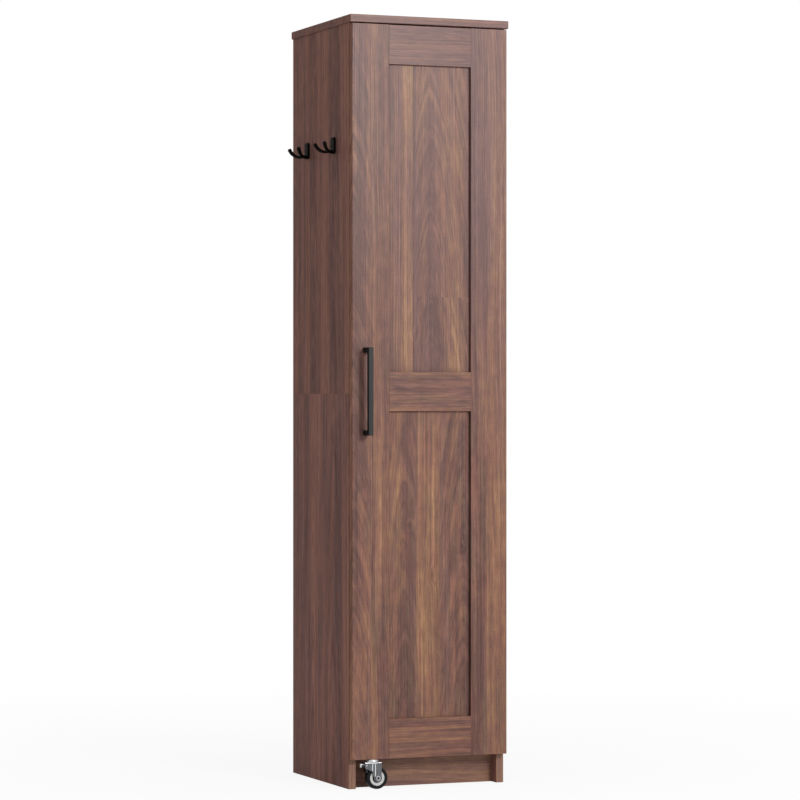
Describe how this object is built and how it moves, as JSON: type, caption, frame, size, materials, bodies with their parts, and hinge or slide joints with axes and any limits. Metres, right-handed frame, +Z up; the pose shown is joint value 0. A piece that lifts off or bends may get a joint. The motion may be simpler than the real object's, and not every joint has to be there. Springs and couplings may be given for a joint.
{
  "type": "broom cupboard",
  "caption": "Tall narrow walnut-finish broom cupboard with a framed panel door on cup hinges, a swivel caster under the door, a black bar handle and coat hooks on its side.",
  "frame": {"origin": "on the floor, mid-width, in the plane of the wall behind the cupboard", "axes": "+X to the right seen from the front, +Y back towards the wall, +Z up"},
  "size_m": [0.4371, 0.436, 1.8],
  "materials": {
    "walnut_board": "satin walnut wood-grain foil",
    "back_board": "printed hardboard",
    "beech": "bare beech",
    "black_metal": "satin black",
    "zinc_steel": "bright zinc plate",
    "nickel_steel": "nickel plate",
    "brown_plastic": "moulded",
    "magnet": "ferrite",
    "clear_rubber": "soft",
    "white_nylon": "moulded",
    "grey_plastic": "moulded",
    "black_tyre": "matte"
  },
  "bodies": {
    "carcase": {"top_panel": "walnut_board", "left_side_upper": "walnut_board", "left_side_lower": "walnut_board", "right_side_upper": "walnut_board", "right_side_lower": "walnut_board", "bottom_panel": "walnut_board", "upper_shelf": "walnut_board", "plinth_front": "walnut_board", "plinth_rear": "walnut_board", "middle_rear_rail": "walnut_board", "top_rear_rail": "walnut_board", "back_panel_upper": "back_board", "back_panel_lower": "back_board", "side_dowels": "beech", "cam_locks": "zinc_steel", "cam_bolts": "zinc_steel", "side_joint_ties": "zinc_steel", "tie_screws": "zinc_steel", "shelf_pins": "zinc_steel", "hinge_arms": "nickel_steel", "hinge_plates": "nickel_steel", "hinge_plate_screws": "zinc_steel", "catch_body": "brown_plastic", "catch_poles": "zinc_steel", "catch_magnet": "magnet", "catch_screws": "zinc_steel", "hook_front": "black_metal", "hook_rear": "black_metal", "hook_screws": "black_metal"},
    "door": {"door_left_stile": "walnut_board", "door_right_stile": "walnut_board", "door_top_rail": "walnut_board", "door_middle_rail": "walnut_board", "door_bottom_rail": "walnut_board", "door_upper_panel": "walnut_board", "door_lower_panel": "walnut_board", "door_handle": "black_metal", "handle_screws": "zinc_steel", "hinge_cups": "nickel_steel", "hinge_pins": "nickel_steel", "strike_plate": "zinc_steel", "strike_screw": "zinc_steel", "door_bumpers": "clear_rubber", "caster_socket": "zinc_steel", "caster_stem": "zinc_steel"},
    "caster_fork": {"caster_fork": "zinc_steel", "caster_axle_bolt": "zinc_steel", "caster_axle_nut": "zinc_steel", "caster_axle_sleeve": "zinc_steel", "caster_brake_pin": "zinc_steel", "caster_swivel_washer": "white_nylon"},
    "caster_wheel": {"caster_wheel_hub": "grey_plastic", "caster_tyre": "black_tyre"},
    "caster_brake": {"caster_brake_lever": "zinc_steel"}
  },
  "joints": [
    {"name": "door_swing", "type": "hinge", "parent": "carcase", "child": "door", "pos_m": [0.1878, -0.391, 0.9245], "axis": [0, 0, 1], "range_deg": [0, 95]},
    {"name": "caster_swivel", "type": "hinge", "parent": "door", "child": "caster_fork", "pos_m": [-0.1425, -0.3905, 0.063], "axis": [0, 0, 1], "continuous": true},
    {"name": "wheel_spin", "type": "hinge", "parent": "caster_fork", "child": "caster_wheel", "pos_m": [-0.1325, -0.3905, 0.026], "axis": [0, 1, 0], "continuous": true},
    {"name": "brake_press", "type": "hinge", "parent": "caster_fork", "child": "caster_brake", "pos_m": [-0.1605, -0.3905, 0.056], "axis": [0, -1, 0], "range_deg": [0, 10]}
  ]
}
